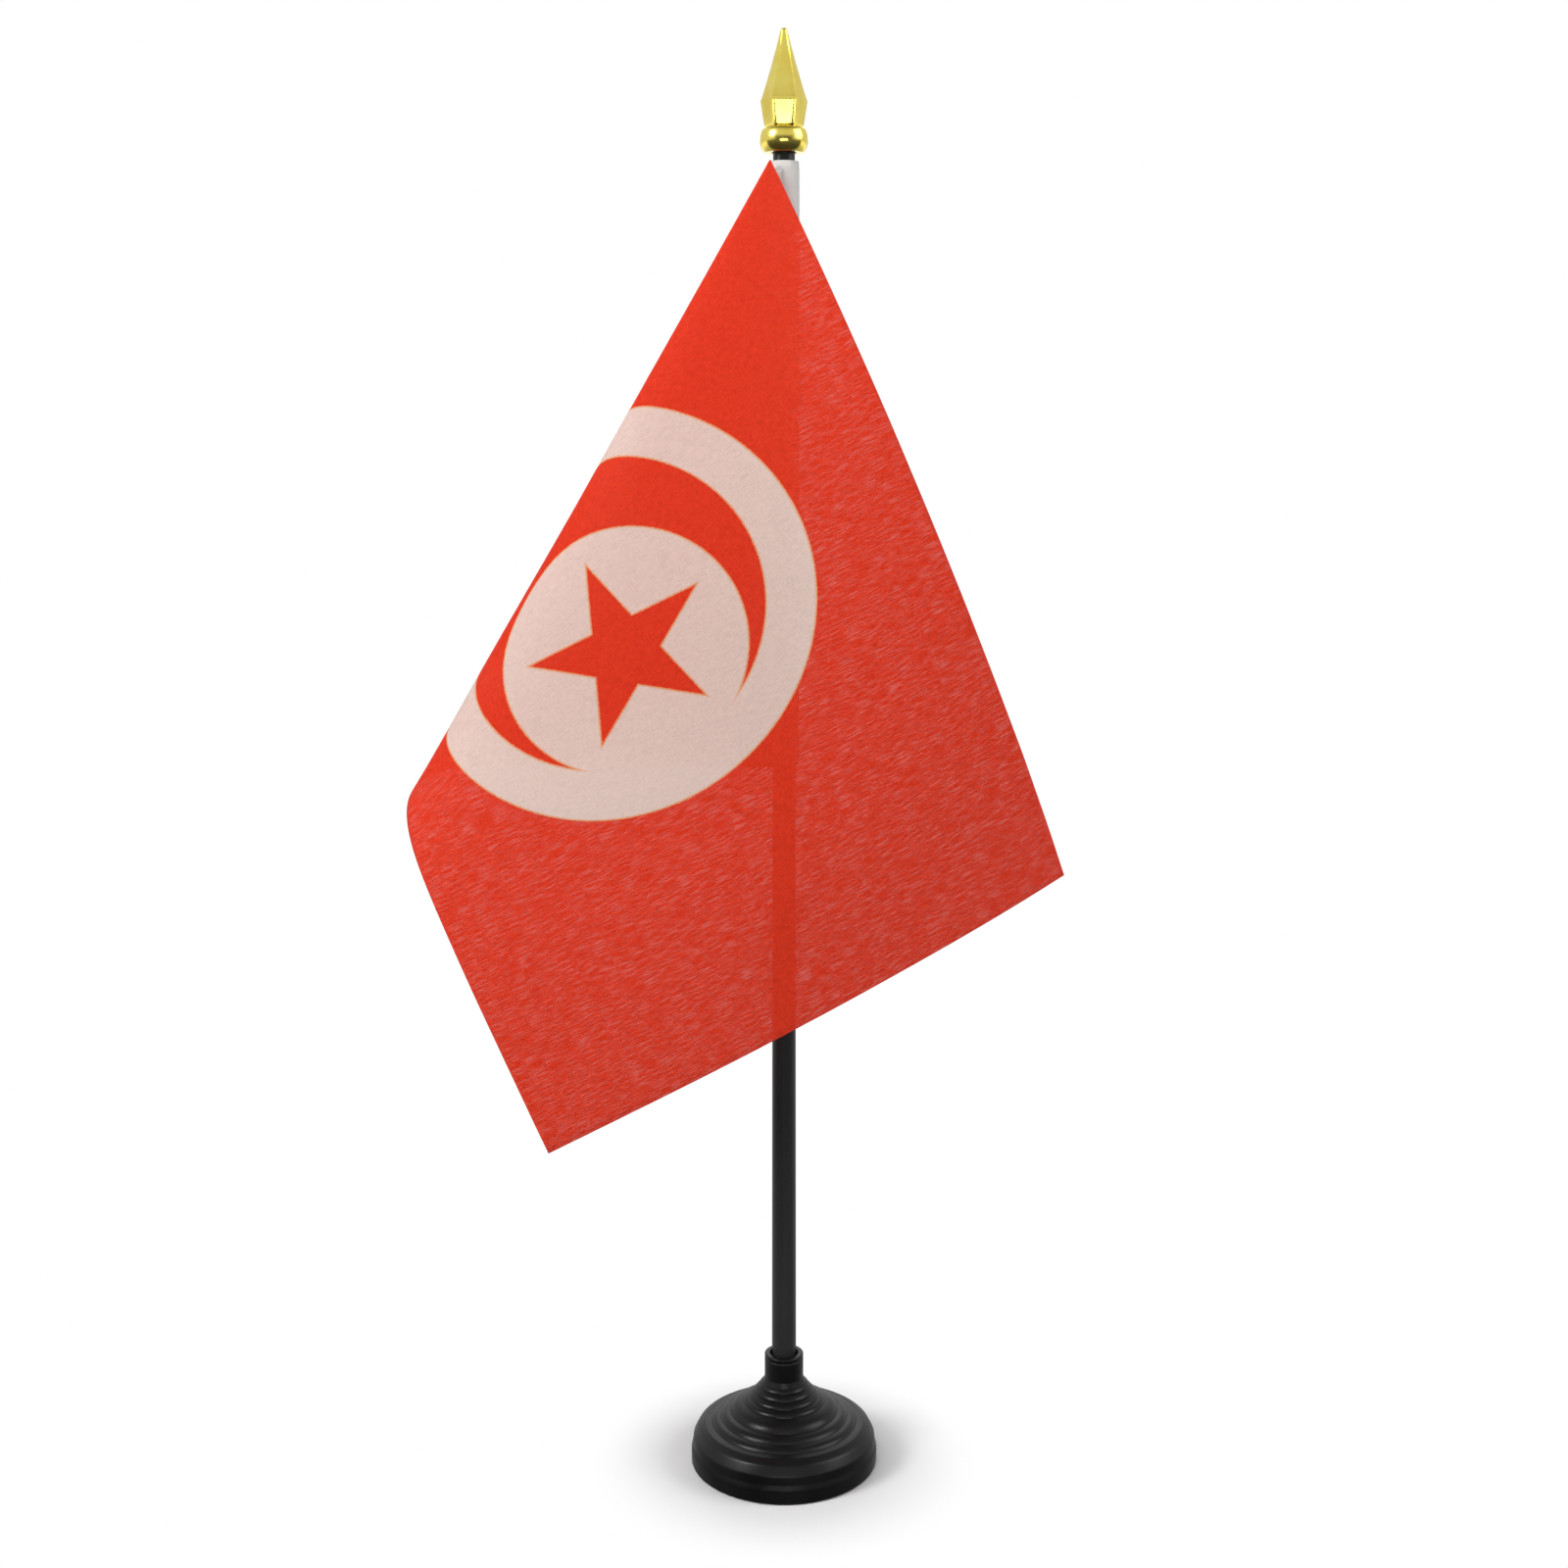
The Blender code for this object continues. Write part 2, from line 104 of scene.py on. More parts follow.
SPEAR_NECK_ROUNDNESS = 0.12
SPEAR_LOWER_SWELL = 0.85
SPEAR_UPPER_SWELL = 0.92
SPEAR_CAP_STEPS = 5
FINIAL_SOCKET_RADIUS = 2.08
FINIAL_SOCKET_DEPTH = 6.4

# Flag: the panel's flat size, how it hangs, and its print. See panel_point. Besides turning over at its
# fold, the cloth droops by SAG_LEFT and SAG_BACK at SAG_DISTANCE from the top hoist corner.
PANEL_LENGTH = 140.0
PANEL_HEIGHT = 100.0
CLOTH_THICKNESS = 0.2
HOIST_LEFT = -2.2
HOIST_FRONT = -3.2
PANEL_TIP_CUT = 0.15
BACK_HEADING = math.radians(4.0)
FOLD_TURN = math.radians(168.9)
FOLD_FAN_ANGLE = math.radians(31.8)
FOLD_SOFTNESS = math.radians(7.7)
SAG_DISTANCE = 150.0
SAG_LEFT = 7.4
SAG_BACK = 55.4
FAN_STEPS = 360
LOWER_FAN_LINES = 150
UPPER_FAN_LINES = 70
CREASE_STEPS = 110
# The small step on the cloth that its directions are measured over.
NEARBY = 0.2
RIPPLE_HEIGHT = 0.35
# Broad and fine ripples, as (length along the fly, length down the hoist, slice of the noise, share).
RIPPLES = ((26.0, 41.6, 3.7, 1.0), (9.0, 14.0, 8.1, 0.2))
RIPPLE_FADE_ALONG = 40.0
RIPPLE_FADE_DISTANCE = 60.0
# The weave is open in fine streaks: the scales of their noise, and the open share over that noise as
# (from, to, share up to there, share beyond).
OPEN_STREAKS = (4.2, 0.34, 0.0)
OPEN_WEAVE = (0.44, 0.66, 0.0, 0.064)
CLOTH_GLOW_SHARE = 0.26
DISC_ALONG = 56.7
DISC_DOWN = 54.5
DISC_RADIUS = 35.0
CRESCENT_OUTER = 0.75 * DISC_RADIUS
CRESCENT_INNER = 0.6 * DISC_RADIUS
CRESCENT_SHIFT = 0.2 * DISC_RADIUS
STAR_RADIUS = 0.45 * DISC_RADIUS
STAR_POINTS = 5

# Sleeve, seam tape and stitches.
SLEEVE_WHITE = (0.83, 0.81, 0.79)
SLEEVE_GLOW_SHARE = 0.25
SLEEVE_STEPS = 72
SLEEVE_ROWS = 90
SLEEVE_TUCK = 0.12
SLEEVE_TUCK_LENGTH = 0.9
SLEEVE_WAVE_HEIGHT = 0.06
SLEEVE_WAVE_LENGTH = 9.0
SLEEVE_WAVES_ROUND = 1.4
TAPE_WIDTH = 4.6
TAPE_TOP = 1.4
TAPE_SLANT = 0.42
TAPE_SLANT_START = 0.3
TAPE_THICKNESS = 0.22
TAPE_ROWS = 90
TAPE_STEPS = 22
TAPE_BACK_TURN = math.radians(165.0)
TAPE_FRONT_TURN = math.radians(-98.0)
TAPE_SEAT = 1.1
TAPE_JOIN_SHARE = 0.45
TAPE_BRIDGE_SHARE = 0.6
TAPE_WEAVE_WIDTH = 8.0
STITCH_TOP = 9.0
STITCH_MARGIN = 12.0
STITCH_RINGS = 7
STITCH_CORNERS = 10
STITCH_PITCH = 2.5
STITCH_LENGTH = 1.9
STITCH_RADIUS = 0.14
STITCH_ALONG = 2.9
# In stitch radii: how far a stitch bows off the cloth, how deep its ends sink in, and how thin they get.
STITCH_BOW = 0.9
STITCH_SINK = 0.3
STITCH_END = 0.55

# Studio.
WHITE = (1.0, 1.0, 1.0)
CAMERA_DISTANCE = 350.0
CAMERA_HEIGHT = 189.0
CAMERA_PITCH = math.radians(10.265)
CAMERA_LENS = 47.317
CAMERA_CLIP = (0.01, 20.0)
FLOOR_HALF_SIZE = 3000.0
FLOOR_DROP = 0.05
FLOOR_PAPER = (0.94, 0.94, 0.94)
WORLD_LIGHT = 0.17
# Every range below is (from, to, value up to there, value beyond). The first is how bright glossy surfaces
# mirror the sky, over the direction's Z. The next two darken it low in front of the stand, over Y and Z.
REFLECTED_SKY = (0.6, 0.95, 0.8, 0.28)
REFLECTED_FRONT = (-0.93, -0.6, 0.0, 1.0)
REFLECTED_FRONT_HEIGHT = (0.08, 0.32, 0.14, 1.0)
# How bright they mirror the floor, over the distance from the stand and over Y, both in metres.
REFLECTED_FLOOR = (0.2, 1.0, 0.5, 1.25)
REFLECTED_FLOOR_FRONT = (-0.035, 0.03, 0.12, 1.0)
# How the floor turns white to the camera, over the distance from the stand in metres.
FLOOR_FADE = (0.0165, 0.036, 0.0, 1.0)


def box_mm(node):
    low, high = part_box(node)
    return low / MM, high / MM


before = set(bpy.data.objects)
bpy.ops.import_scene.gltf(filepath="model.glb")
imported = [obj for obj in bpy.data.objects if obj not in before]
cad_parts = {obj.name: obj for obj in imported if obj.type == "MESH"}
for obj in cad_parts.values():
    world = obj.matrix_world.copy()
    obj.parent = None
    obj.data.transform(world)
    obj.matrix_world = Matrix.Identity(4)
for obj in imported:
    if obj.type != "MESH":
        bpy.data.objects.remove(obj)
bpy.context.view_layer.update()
foot_high = box_mm("base_shell")[1]
pole_low, pole_high = box_mm("pole")
spear_low, spear_high = box_mm("finial")
sleeve_low, sleeve_high = box_mm("sleeve")


# Mesh helpers.

def finish_piece(name, mesh, material, body, replaced):
    """Links a mesh made in millimetres as a piece that rides on a CAD body and stands for CAD nodes."""
    for vertex in mesh.vertices:
        vertex.co = vertex.co * MM
    mesh.materials.append(material)
    mesh.shade_smooth()
    mesh.set_sharp_from_angle(angle=SHARP_ANGLE)
    piece = bpy.data.objects.new(name, mesh)
    bpy.context.scene.collection.objects.link(piece)
    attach(piece, body)
    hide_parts(*replaced)
    return piece


def mesh_from(shape, name):
    bmesh.ops.recalc_face_normals(shape, faces=shape.faces)
    mesh = bpy.data.meshes.new(name)
    shape.to_mesh(mesh)
    shape.free()
    return mesh


def polar(radius, turn, height):
    return Vector((radius * math.cos(turn), radius * math.sin(turn), height))


def bridge(shape, first, second):
    """Faces between two closed rings of equal length. A ring of one point closes to a cap."""
    count = max(len(first), len(second))
    for step in range(count):
        after = (step + 1) % count
        if len(first) == 1:
            shape.faces.new((first[0], second[step], second[after]))
        elif len(second) == 1:
            shape.faces.new((first[step], second[0], first[after]))
        else:
            shape.faces.new((first[step], second[step], second[after], first[after]))


def turned_mesh(name, outline, turns, reach=None):
    """Turns an outline of (radius, height) round Z. reach(turn, radius) may change the radius."""
    shape = bmesh.new()
    rings = []
    for radius, height in outline:
        if radius < 1e-6:
            rings.append([shape.verts.new((0.0, 0.0, height))])
            continue
        radii = [reach(turn, radius) if reach else radius for turn in turns]
        rings.append([shape.verts.new(polar(r, turn, height)) for r, turn in zip(radii, turns)])
    for first, second in zip(rings, rings[1:]):
        bridge(shape, first, second)
    if len(rings[0]) > 1:
        bridge(shape, rings[-1], rings[0])
    return mesh_from(shape, name)


def even_turns(steps):
    return [2 * math.pi * step / steps for step in range(steps)]


def rounded(corners):
    """Rounds the corners of an outline, given as (radius, height, fillet). Its two ends stay as they are."""
    points = []
    for index, (radius, height, fillet) in enumerate(corners):
        here = Vector((radius, height))
        if fillet == 0.0 or index in (0, len(corners) - 1):
            points.append((here.x, here.y))
            continue
        to_before = (Vector(corners[index - 1][:2]) - here).normalized()
        to_after = (Vector(corners[index + 1][:2]) - here).normalized()
        half = to_before.angle(to_after) / 2
        centre = here + (to_before + to_after).normalized() * fillet / math.sin(half)
        start = here + to_before * fillet / math.tan(half) - centre
        end = here + to_after * fillet / math.tan(half) - centre
        for step in range(FILLET_STEPS + 1):
            spoke = centre + start.lerp(end, step / FILLET_STEPS).normalized() * fillet
            points.append((spoke.x, spoke.y))
    return points


def sheet_mesh(name, rows, places):
    """A grid of points as a sheet. places holds each point's (along, down) on the flat cloth."""
    mesh = bpy.data.meshes.new(name)
    width = len(rows[0])
    points = [point for row in rows for point in row]
    faces = []
    for row in range(len(rows) - 1):
        for column in range(width - 1):
            corner = row * width + column
            faces.append((corner, corner + 1, corner + width + 1, corner + width))
    mesh.from_pydata(points, [], faces)
    layer = mesh.attributes.new("cloth_place", "FLOAT_VECTOR", "POINT")
    flat = [value for row in places for along, down in row for value in (along, down, 0.0)]
    layer.data.foreach_set("vector", flat)
    return mesh


def thicken(piece, thickness):
    """Gives a sheet its thickness as a closed solid, and keeps the result as the piece's own mesh."""
    solid = piece.modifiers.new("thickness", "SOLIDIFY")
    solid.thickness = thickness * MM
    solid.offset = 0.0
    solid.use_even_offset = False
    graph = bpy.context.evaluated_depsgraph_get()
    thickened = piece.evaluated_get(graph)
    made = bpy.data.meshes.new_from_object(thickened, preserve_all_data_layers=True, depsgraph=graph)
    piece.modifiers.clear()
    piece.data = made
    return piece


# Material helpers.

class Nodes:
    """A node tree, with short ways to add to it. An input takes a socket or a plain value."""

    def __init__(self, owner, output_kind):
        owner.use_nodes = True
        self.tree = owner.node_tree
        self.tree.nodes.clear()
        self.output = self.tree.nodes.new(output_kind)

    def put(self, socket, value):
        if isinstance(value, bpy.types.NodeSocket):
            self.tree.links.new(value, socket)
        elif isinstance(value, tuple) and len(socket.default_value) == 4:
            socket.default_value = (*value[:3], 1.0)
        else:
            socket.default_value = value

    def add(self, kind, inputs=None, **settings):
        made = self.tree.nodes.new("ShaderNode" + kind)
        for key, value in settings.items():
            setattr(made, key, value)
        for key, value in (inputs or {}).items():
            self.put(made.inputs[key], value)
        return made

    def math(self, operation, first, second=0.0, third=0.0):
        made = self.add("Math", {0: first, 1: second, 2: third}, operation=operation)
        return made.outputs[0]

    def ramp(self, value, start, end, low=0.0, high=1.0):
        inputs = {"Value": value, "From Min": start, "From Max": end, "To Min": low, "To Max": high}
        return self.add("MapRange", inputs, interpolation_type="SMOOTHSTEP").outputs[0]

    def mix(self, factor, first, second):
        made = self.add("Mix", data_type="RGBA")
        self.put(made.inputs[0], factor)
        self.put(made.inputs[6], first)
        self.put(made.inputs[7], second)
        return made.outputs[2]

    def scaled(self, vector, factors):
        inputs = {0: vector, 1: factors}
        return self.add("VectorMath", inputs, operation="MULTIPLY").outputs[0]

    def noise(self, vector, scale, detail=2.0, roughness=0.5):
        inputs = {"Vector": vector, "Scale": scale, "Detail": detail, "Roughness": roughness}
        return self.add("TexNoise", inputs).outputs["Fac"]

    def bump(self, height, strength, distance):
        inputs = {"Height": height, "Strength": strength, "Distance": distance}
        return self.add("Bump", inputs).outputs[0]

    def object_place(self):
        return self.add("TexCoord").outputs["Object"]

    def cloth_place(self):
        return self.add("Attribute", attribute_name="cloth_place").outputs["Vector"]

    def show(self, shader_socket):
        self.tree.links.new(shader_socket, self.output.inputs["Surface"])


class Shader(Nodes):
    """One material and its node tree."""

    def __init__(self, name):
        self.material = bpy.data.materials.new(name)
        super().__init__(self.material, "ShaderNodeOutputMaterial")

    def show(self, shader_socket):
        super().show(shader_socket)
        return self.material


def moulded_plastic(name, colour, roughness, grain=5200.0, streaks=(1.0, 1.0, 1.0)):
    """Black moulded plastic: a fine spark-eroded grain, and uneven gloss that can run in streaks."""
    shader = Shader(name)
    place = shader.object_place()
    cloud = shader.noise(shader.scaled(place, streaks), 120.0, detail=3.0, roughness=0.6)
    pits = shader.noise(place, grain, roughness=0.7)
    darker = tuple(0.75 * value for value in colour)
    lighter = tuple(1.35 * value for value in colour)
    inputs = {
        "Base Color": shader.mix(shader.ramp(cloud, 0.3, 0.7), darker, lighter),
        "Roughness": shader.ramp(cloud, 0.25, 0.75, roughness - 0.05, roughness + 0.07),
        "Specular IOR Level": 0.22,
        "Normal": shader.bump(pits, strength=0.25, distance=0.04 * MM),
    }
    return shader.show(shader.add("BsdfPrincipled", inputs).outputs[0])


def gilt_plating():
    """Vacuum-plated plastic: mirror gold with a faint orange peel and thinner, greener patches."""
    shader = Shader("gilt_plating")
    place = shader.object_place()
    cloud = shader.noise(place, 260.0, detail=3.0, roughness=0.6)
    peel = shader.noise(place, 900.0)
    inputs = {
        "Base Color": shader.mix(shader.ramp(cloud, 0.3, 0.7), (0.80, 0.62, 0.10), (0.86, 0.72, 0.16)),
        "Metallic": 1.0,
        "Roughness": shader.ramp(cloud, 0.3, 0.75, 0.13, 0.22),
        "Normal": shader.bump(peel, strength=0.12, distance=0.06 * MM),
    }
    return shader.show(shader.add("BsdfPrincipled", inputs).outputs[0])


def zinc_plated_steel():
    shader = Shader("zinc_plated_steel")
    place = shader.object_place()
    cells = shader.add("TexVoronoi", {"Vector": place, "Scale": 420.0}).outputs["Color"]
    flake = shader.add("SeparateColor", {0: cells}).outputs[0]
    inputs = {
        "Base Color": shader.mix(flake, (0.36, 0.37, 0.38), (0.52, 0.53, 0.54)),
        "Metallic": 1.0,
        "Roughness": shader.ramp(flake, 0.0, 1.0, 0.32, 0.5),
    }
    return shader.show(shader.add("BsdfPrincipled", inputs).outputs[0])


def woven_threads(shader, place, across, along):
    """Uneven threads of a plain weave: one noise drawn out down the cloth, plus one drawn out along it."""
    down_threads = shader.noise(shader.scaled(place, (across, along, 0.0)), 1.0, roughness=0.6)
    cross_threads = shader.noise(shader.scaled(place, (along, across, 0.0)), 1.0, roughness=0.6)
    return shader.math("ADD", down_threads, cross_threads)


def white_cloth(name):
    """Plain white polyester of the sleeve and its tape."""
    shader = Shader(name)
    place = shader.cloth_place()
    weave = woven_threads(shader, place, across=7.0, along=0.9)
    soil = shader.noise(place, 0.12)
    shade = tuple(0.9 * value for value in SLEEVE_WHITE)
    surface = shader.add("BsdfPrincipled", {
        "Base Color": shader.mix(shader.ramp(weave, 0.7, 1.3), shade, SLEEVE_WHITE),
        "Roughness": shader.ramp(soil, 0.3, 0.7, 0.78, 0.9),
        "Sheen Weight": 0.15,
        "Normal": shader.bump(weave, strength=0.5, distance=0.08 * MM),
    }).outputs[0]
    through = shader.add("BsdfTranslucent", {"Color": SLEEVE_WHITE}).outputs[0]
    return shader.show(shader.add("MixShader", {0: SLEEVE_GLOW_SHARE, 1: surface, 2: through}).outputs[0])


def white_field(shader, place):
    """Signed distance to the print's white, below zero on the disc but not on its crescent and star."""
    axes = shader.add("SeparateXYZ", {0: place}).outputs
    along = shader.math("SUBTRACT", axes[0], DISC_ALONG)
    down = shader.math("SUBTRACT", axes[1], DISC_DOWN)
    star_along = shader.math("SUBTRACT", along, CRESCENT_SHIFT)

    def length(first, second):
        squares = shader.math("MULTIPLY_ADD", first, first, shader.math("MULTIPLY", second, second))
        return shader.math("SQRT", squares)

    reach = length(along, down)
    star_reach = length(star_along, down)
    outside_inner = shader.math("SUBTRACT", CRESCENT_INNER, star_reach)
    crescent = shader.math("MAXIMUM", shader.math("SUBTRACT", reach, CRESCENT_OUTER), outside_inner)
    turn = shader.math("ARCTAN2", down, shader.math("MULTIPLY", star_along, -1.0))
    folded = shader.math("PINGPONG", turn, math.pi / STAR_POINTS)
    edge_turn = 2 * math.pi / STAR_POINTS
    towards_edge = shader.math("COSINE", shader.math("SUBTRACT", folded, edge_turn))
    edge_reach = shader.math("MULTIPLY", star_reach, towards_edge)
    star = shader.math("SUBTRACT", edge_reach, STAR_RADIUS * math.cos(edge_turn))
    red_inside = shader.math("MINIMUM", crescent, star)
    disc = shader.math("SUBTRACT", reach, DISC_RADIUS)
    return shader.math("MAXIMUM", disc, shader.math("MULTIPLY", red_inside, -1.0))


def printed_cloth():
    """Thin printed polyester with an open weave: red, with a crescent and a star on a white disc."""
    shader = Shader("printed_cloth")
    place = shader.cloth_place()
    weave = woven_threads(shader, place, across=5.5, along=0.7)
    bleed = shader.noise(place, 2.2, roughness=0.7)
    field = white_field(shader, place)
    edge = shader.math("MULTIPLY_ADD", shader.math("SUBTRACT", bleed, 0.5), 0.35, field)

    red_ink = shader.mix(shader.ramp(weave, 0.75, 1.25), (0.70, 0.030, 0.007), (0.83, 0.048, 0.016))
    # The white print is painted pinkish: painted red light that shines through from the red layer behind and
    # bounces off the red.
    white = shader.mix(shader.ramp(weave, 0.75, 1.25), (0.74, 0.575, 0.51), (0.84, 0.66, 0.59))
    fringed = shader.mix(shader.ramp(edge, -0.45, -0.12), white, (0.80, 0.38, 0.17))
    colour = shader.mix(shader.ramp(edge, -0.15, 0.1), fringed, red_ink)

    surface = shader.add("BsdfPrincipled", {
        "Base Color": colour,
        "Roughness": 0.72,
        "Specular IOR Level": 0.15,
        "Sheen Weight": 0.02,
        "Normal": shader.bump(weave, strength=0.35, distance=0.06 * MM),
    }).outputs[0]
    through = shader.add("BsdfTranslucent", {"Color": colour}).outputs[0]
    cloth = shader.add("MixShader", {0: CLOTH_GLOW_SHARE, 1: surface, 2: through}).outputs[0]

    streaks = shader.noise(shader.scaled(place, OPEN_STREAKS), 1.0, roughness=0.6)
    patches = shader.ramp(shader.noise(place, 0.25), 0.3, 0.7, 0.6, 1.3)
    holes = shader.math("MULTIPLY", shader.ramp(streaks, *OPEN_WEAVE), patches)
    # A ray that is already inside the cloth always gets out, so each layer lets light through only once.
    from_inside = shader.add("NewGeometry").outputs["Backfacing"]
    open_share = shader.math("MAXIMUM", holes, from_inside)
    clear = shader.add("BsdfTransparent").outputs[0]
    return shader.show(shader.add("MixShader", {0: open_share, 1: cloth, 2: clear}).outputs[0])


def sewing_thread():
    """Two-ply thread: its twist shows as slanted bands along each stitch."""
    shader = Shader("sewing_thread")
    place = shader.object_place()
    slant = {"Vector": place, "Scale": 700.0, "Distortion": 1.0}
    twist = shader.add("TexWave", slant, bands_direction="DIAGONAL").outputs["Fac"]
    inputs = {
        "Base Color": shader.mix(twist, (0.60, 0.58, 0.56), (0.80, 0.79, 0.77)),
        "Roughness": 0.6,
        "Sheen Weight": 0.2,
        "Normal": shader.bump(twist, strength=0.5, distance=0.04 * MM),
    }
    return shader.show(shader.add("BsdfPrincipled", inputs).outputs[0])


# Rigid pieces.

def step_points(start, end):
    """One moulded step between two creases. It swells outwards, most of all near its lower, outer nose."""
    along = Vector((end[0] - start[0], end[1] - start[1]))
    outward = Vector((-along.y, along.x)).normalized()
    swell = STEP_BULGE * along.length + STEP_BULGE_LEAST
    points = []
    for index in range(1, STEP_POINTS):
        share = index / STEP_POINTS
        lift = swell * math.sin(math.pi * share ** STEP_NOSE_SKEW) ** STEP_NOSE_FULLNESS
        point = Vector(start) + along * share + outward * lift
        points.append((point.x, point.y))
    return points


def foot_outline():
    radius = foot_high.x
    top = foot_high.z
    socket = -pole_low.x + SOCKET_GAP
    groove = top - COLLAR_GROOVE_DROP
    upper = rounded([
        (0.0, SOCKET_FLOOR, 0.0),
        (socket, SOCKET_FLOOR, 0.1),
        (socket, top, 0.18),
        (COLLAR_RADIUS, top, COLLAR_RIM_FILLET),
        (COLLAR_RADIUS, groove + COLLAR_GROOVE_HALF, 0.08),
        (COLLAR_RADIUS - COLLAR_GROOVE_DEPTH, groove, 0.1),
        (COLLAR_RADIUS, groove - COLLAR_GROOVE_HALF, 0.08),
        (COLLAR_RADIUS, COLLAR_BOTTOM, 0.5),
        (*STEP_CREASES[0], 0.0),
    ])
    steps = []
    for start, end in zip(STEP_CREASES, STEP_CREASES[1:]):
        steps += step_points(start, end)
        steps.append(end)
    rim_inside = radius - FOOT_WALL
    tube = COLLAR_RADIUS + TUBE_WALL
    lower = rounded([
        (*STEP_CREASES[-1], 0.0),
        *SHOULDER_CORNERS,
        (radius, SKIRT_TOP, 0.6),
        (radius, 0.0, RIM_FILLET),
        (rim_inside, 0.0, 0.2),
        (rim_inside, COVER_RECESS, 0.05),
        (rim_inside - COVER_LEDGE, COVER_RECESS, 0.15),
        (rim_inside - COVER_LEDGE, LEDGE_TOP, 0.4),
        *DOME_INSIDE_CORNERS,
        (tube, DOME_INSIDE_TOP, 0.3),
        (tube, SOCKET_FLOOR - SOCKET_FLOOR_THICKNESS, 0.3),
        (0.0, SOCKET_FLOOR - SOCKET_FLOOR_THICKNESS, 0.0),
    ])
    return upper + steps + lower[1:]


def make_foot():
    mesh = turned_mesh("foot_moulding", foot_outline(), even_turns(FOOT_STEPS))
    black = moulded_plastic("foot_plastic", (0.0050, 0.0050, 0.0052), roughness=0.30)
    return finish_piece("foot_moulding", mesh, black, "base", ["base_shell"])


def pole_turns():
    """Turns round the pole, with extra ones at the two parting lines on its left and right."""
    turns = even_turns(POLE_STEPS)
    spread = PARTING_LINE_HALF_WIDTH / pole_high.x
    for seam in (0.0, math.pi):
        turns += [seam + spread * share for share in (-1.0, -0.5, 0.5, 1.0)]
    return sorted(turn % (2 * math.pi) for turn in turns)


def parting_ridge(turn, radius):
    """The pole's radius with its two thin moulding ridges."""
    from_seam = abs((turn + math.pi / 2) % math.pi - math.pi / 2) * radius
    rise = max(0.0, 1.0 - from_seam / PARTING_LINE_HALF_WIDTH)
    return radius + PARTING_LINE_HEIGHT * rise


def make_pole():
    foot_radius = pole_high.x - PARTING_LINE_HEIGHT
    top_radius = foot_radius - POLE_TAPER
    outline = rounded([
        (0.0, pole_high.z, 0.0),
        (top_radius, pole_high.z, POLE_END_FILLET),
        (foot_radius, pole_low.z, POLE_END_FILLET),
        (0.0, pole_low.z, 0.0),
    ])
    mesh = turned_mesh("pole_rod", outline, pole_turns(), parting_ridge)
    colour = (0.021, 0.0212, 0.0212)
    black = moulded_plastic("pole_plastic", colour, roughness=0.36, streaks=(1.0, 1.0, 0.05))
    return finish_piece("pole_rod", mesh, black, "pole", ["pole"])


def spear_profile():
    """(height, circumradius, roundness) up the spear: roundness 1 is a circle and 0 a sharp polygon."""
    foot, tip = spear_low.z, spear_high.z
    bead = foot + BEAD_DROP
    neck = foot + NECK_RISE
    widest = foot + WIDEST_RISE
    rows = []
    for step in range(SPEAR_HEIGHT_STEPS + 1):
        height = foot + (neck - foot) * step / SPEAR_HEIGHT_STEPS
        offset = min(1.0, abs(height - bead) / BEAD_HALF_HEIGHT)
        swell = math.sqrt(1.0 - offset ** 2)
        core = NECK_RADIUS - BEAD_CORE_INSET
        rows.append((height, core + (BEAD_RADIUS - core) * swell - neck_crease(height - neck), 1.0))
    for step in range(1, SPEAR_HEIGHT_STEPS + 1):
        share = step / SPEAR_HEIGHT_STEPS
        radius = NECK_RADIUS + (SPEAR_RADIUS - NECK_RADIUS) * share ** SPEAR_LOWER_SWELL
        height = neck + (widest - neck) * share
        roundness = SPEAR_NECK_ROUNDNESS * (1.0 - share) ** 2
        rows.append((height, radius - neck_crease(height - neck), roundness))
    cap = tip - SPEAR_TIP_CAP
    for step in range(1, SPEAR_HEIGHT_STEPS + 1):
        share = step / SPEAR_HEIGHT_STEPS
        radius = SPEAR_RADIUS + (SPEAR_TIP_RADIUS - SPEAR_RADIUS) * share ** SPEAR_UPPER_SWELL
        rows.append((widest + (cap - widest) * share, radius, share ** 3))
    for step in range(1, SPEAR_CAP_STEPS):
        turn = math.pi / 2 * step / SPEAR_CAP_STEPS
        rows.append((cap + SPEAR_TIP_CAP * math.sin(turn), SPEAR_TIP_RADIUS * math.cos(turn), 1.0))
    return rows


def neck_crease(from_neck):
    """Depth of the fine crease where the six-sided part meets the bead."""
    return NECK_CREASE_DEPTH * math.exp(-(from_neck / NECK_CREASE_HALF) ** 2)


def polygon_reach(turn, radius, roundness):
    """How far a rounded polygon with a flat side towards -Y reaches at a turn. Its corners are softened."""
    side = 2 * math.pi / SPEAR_SIDES
    from_middle = (turn + math.pi / 2 + side / 2) % side - side / 2
    apothem = radius * math.cos(side / 2)
    corner_turn = side / 2 - abs(from_middle)
    flat = apothem / math.cos(from_middle)
    fillet = min(SPEAR_EDGE_FILLET, SPEAR_EDGE_LEAST * apothem)
    from_edge = SPEAR_EDGE_SHARPNESS * (corner_turn * radius / fillet) ** 2
    softened = flat - fillet * SPEAR_EDGE_CUT * math.exp(-from_edge)
    return softened + (radius * SPEAR_ROUND_SHARE - softened) * roundness


